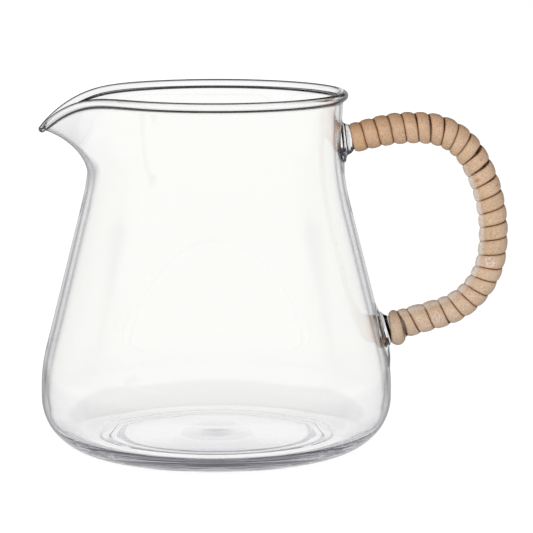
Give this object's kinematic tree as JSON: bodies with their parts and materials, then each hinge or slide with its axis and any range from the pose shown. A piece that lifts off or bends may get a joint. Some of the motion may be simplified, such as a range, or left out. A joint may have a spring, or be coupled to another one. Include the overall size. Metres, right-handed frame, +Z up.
{
  "type": "pitcher",
  "caption": "Small clear glass pitcher with a conical belly, narrow neck, drawn pouring lip and a looped glass handle bound with split cane.",
  "frame": {"origin": "centre of the resting ring, on the surface that it stands on", "axes": "+Z up along the vessel's axis, +X towards the handle, -X towards the pouring lip"},
  "size_m": [0.12, 0.09, 0.092],
  "materials": {
    "glass": "clear, fire-polished",
    "cane": "split cane, satin with fine grain"
  },
  "bodies": {
    "root": {"glass_body": "glass", "handle_rod": "glass", "upper_root": "glass", "lower_root": "glass", "cane_wrap": "cane", "cane_tail": "cane"}
  },
  "joints": []
}
